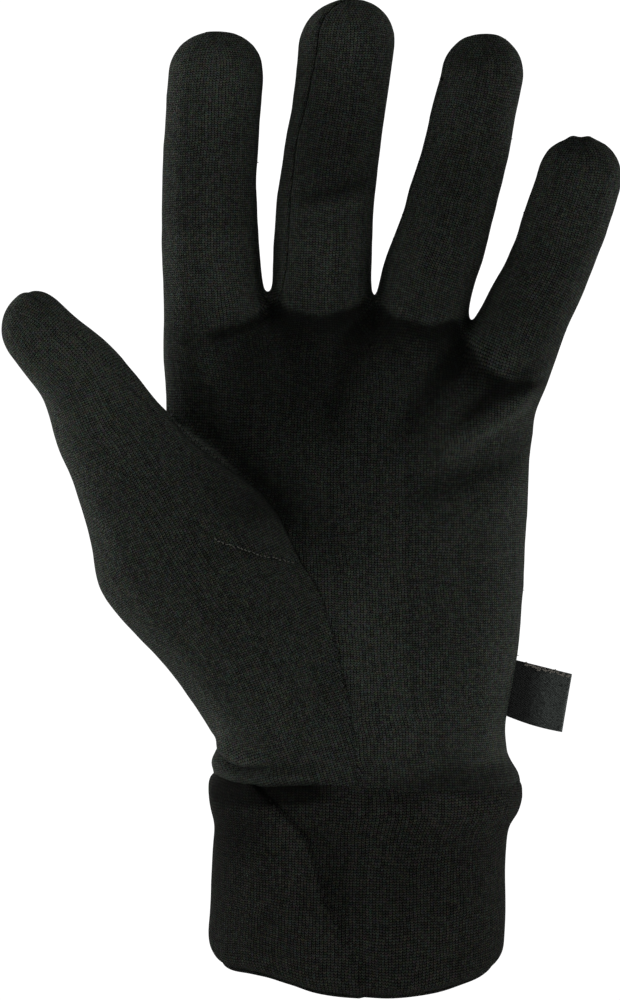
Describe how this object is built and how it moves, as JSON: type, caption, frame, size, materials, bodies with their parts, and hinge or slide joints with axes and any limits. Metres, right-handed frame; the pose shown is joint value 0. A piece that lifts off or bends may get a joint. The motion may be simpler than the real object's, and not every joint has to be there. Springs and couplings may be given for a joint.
{
  "type": "glove",
  "caption": "Left-hand stretch-knit glove in the shape it has on a hand, with spread fingers, a folded cuff band and a small ribbon loop in the side seam.",
  "frame": {"origin": "middle of the cuff's mouth, where the wrist goes in", "axes": "+Z from the cuff to the fingertips, -Y out of the palm, -X towards the thumb"},
  "size_m": [0.1493, 0.0601, 0.2383],
  "materials": {
    "knit": "black stretch knit, matt, with a fine rib along the fingers",
    "cuff_knit": "black stretch knit in two layers, matt",
    "ribbon": "black woven ribbon, slightly shiny"
  },
  "bodies": {
    "root": {"palm_panel": "knit", "back_panel": "knit", "thumb_panel": "knit", "cuff": "cuff_knit", "label_tab": "ribbon"}
  },
  "joints": []
}
